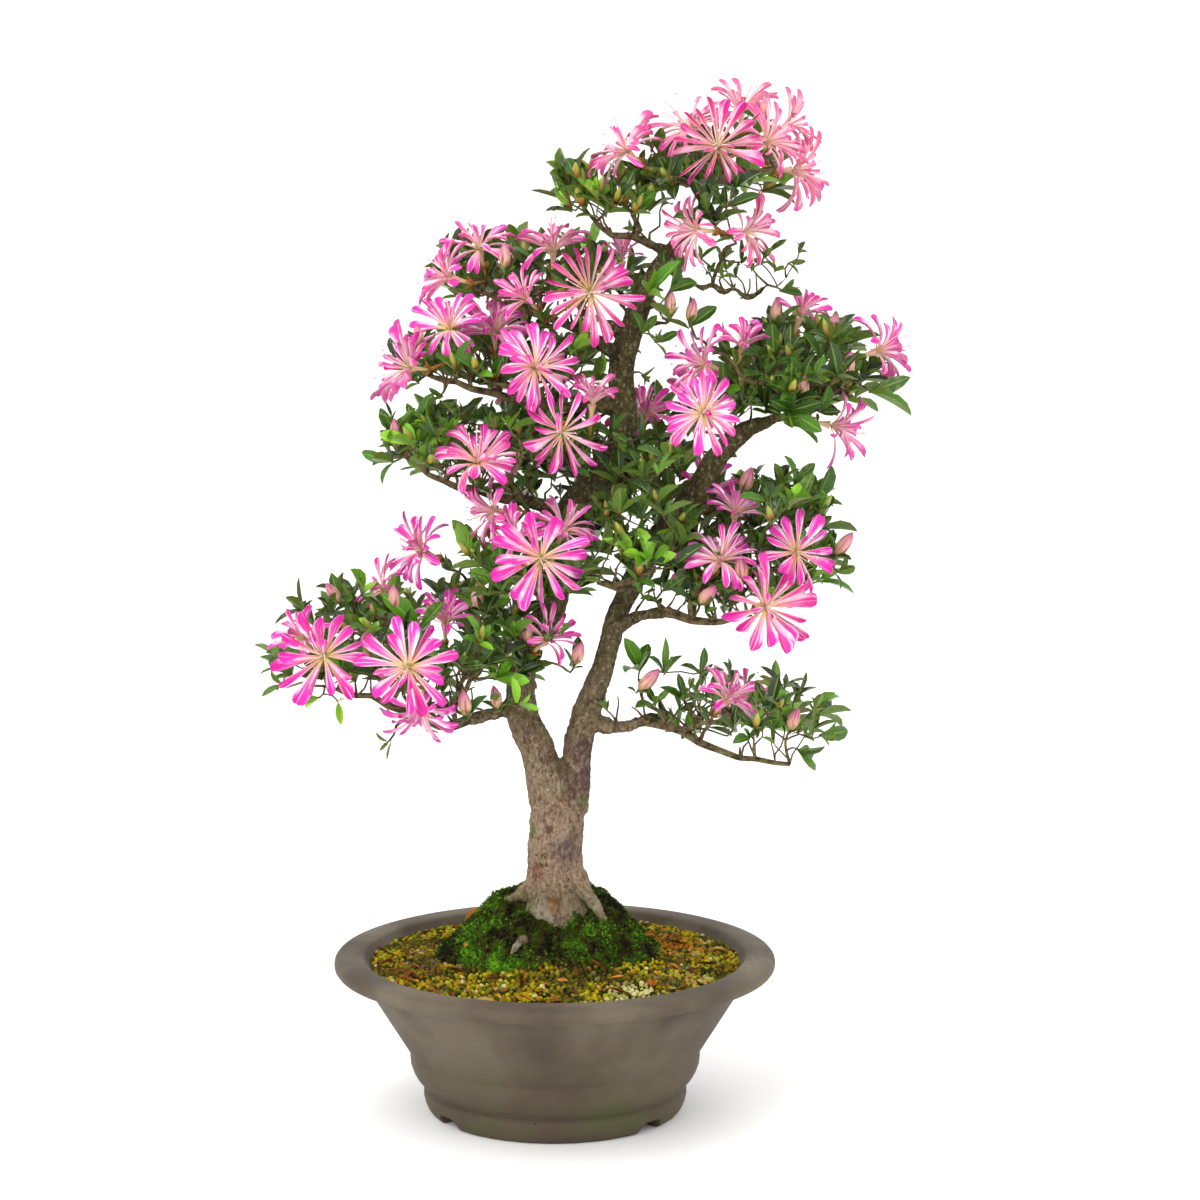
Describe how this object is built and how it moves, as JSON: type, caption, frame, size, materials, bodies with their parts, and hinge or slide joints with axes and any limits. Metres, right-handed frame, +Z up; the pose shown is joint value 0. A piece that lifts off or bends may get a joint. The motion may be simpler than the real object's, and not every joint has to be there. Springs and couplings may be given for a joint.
{
  "type": "satsuki azalea bonsai in a pot",
  "caption": "Old azalea bonsai with a forked trunk, spread foliage pads and pink spider-petalled blooms, in a round wide-lipped stoneware pot.",
  "frame": {"origin": "centre of the whole object's bounding box in x and y, on the surface that the pot's foot stands on", "axes": "+Z up, -Y towards the pictured front, +X to the viewer's right"},
  "size_m": [0.4252, 0.3, 0.6972],
  "materials": {
    "stoneware": "unglazed, matt",
    "soil": "rough granules",
    "moss": "soft, matt",
    "bark": "smooth mottled bark",
    "foliage": "glossy leaves on olive-brown twigs",
    "petals": "soft satin petals"
  },
  "bodies": {
    "root": {"bloom_01": "petals", "bloom_02": "petals", "bloom_03": "petals", "bloom_04": "petals", "bloom_05": "petals", "bloom_06": "petals", "bloom_07": "petals", "bloom_08": "petals", "bloom_09": "petals", "bloom_10": "petals", "bloom_11": "petals", "bloom_12": "petals", "bloom_13": "petals", "bloom_14": "petals", "bloom_15": "petals", "bloom_16": "petals", "bloom_17": "petals", "bloom_18": "petals", "bloom_19": "petals", "bloom_20": "petals", "bloom_21": "petals", "bloom_22": "petals", "bloom_23": "petals", "bloom_24": "petals", "bloom_25": "petals", "bloom_26": "petals", "bloom_27": "petals", "bloom_28": "petals", "bloom_29": "petals", "bloom_30": "petals", "bloom_31": "petals", "bloom_32": "petals", "bloom_33": "petals", "bloom_34": "petals", "bloom_35": "petals", "bloom_36": "petals", "bloom_37": "petals", "bloom_38": "petals", "bloom_39": "petals", "bloom_40": "petals", "bloom_41": "petals", "bloom_42": "petals", "bloom_43": "petals", "bloom_44": "petals", "foliage_apex": "foliage", "foliage_apex_left": "foliage", "foliage_back": "foliage", "foliage_centre": "foliage", "foliage_heart": "foliage", "foliage_high_left": "foliage", "foliage_lower_left": "foliage", "foliage_lower_right": "foliage", "foliage_mid_left": "foliage", "foliage_right_mid": "foliage", "foliage_right_upper": "foliage", "foliage_upper_left": "foliage", "moss": "moss", "pot": "stoneware", "soil": "soil", "trunk_and_branches": "bark"}
  },
  "joints": []
}
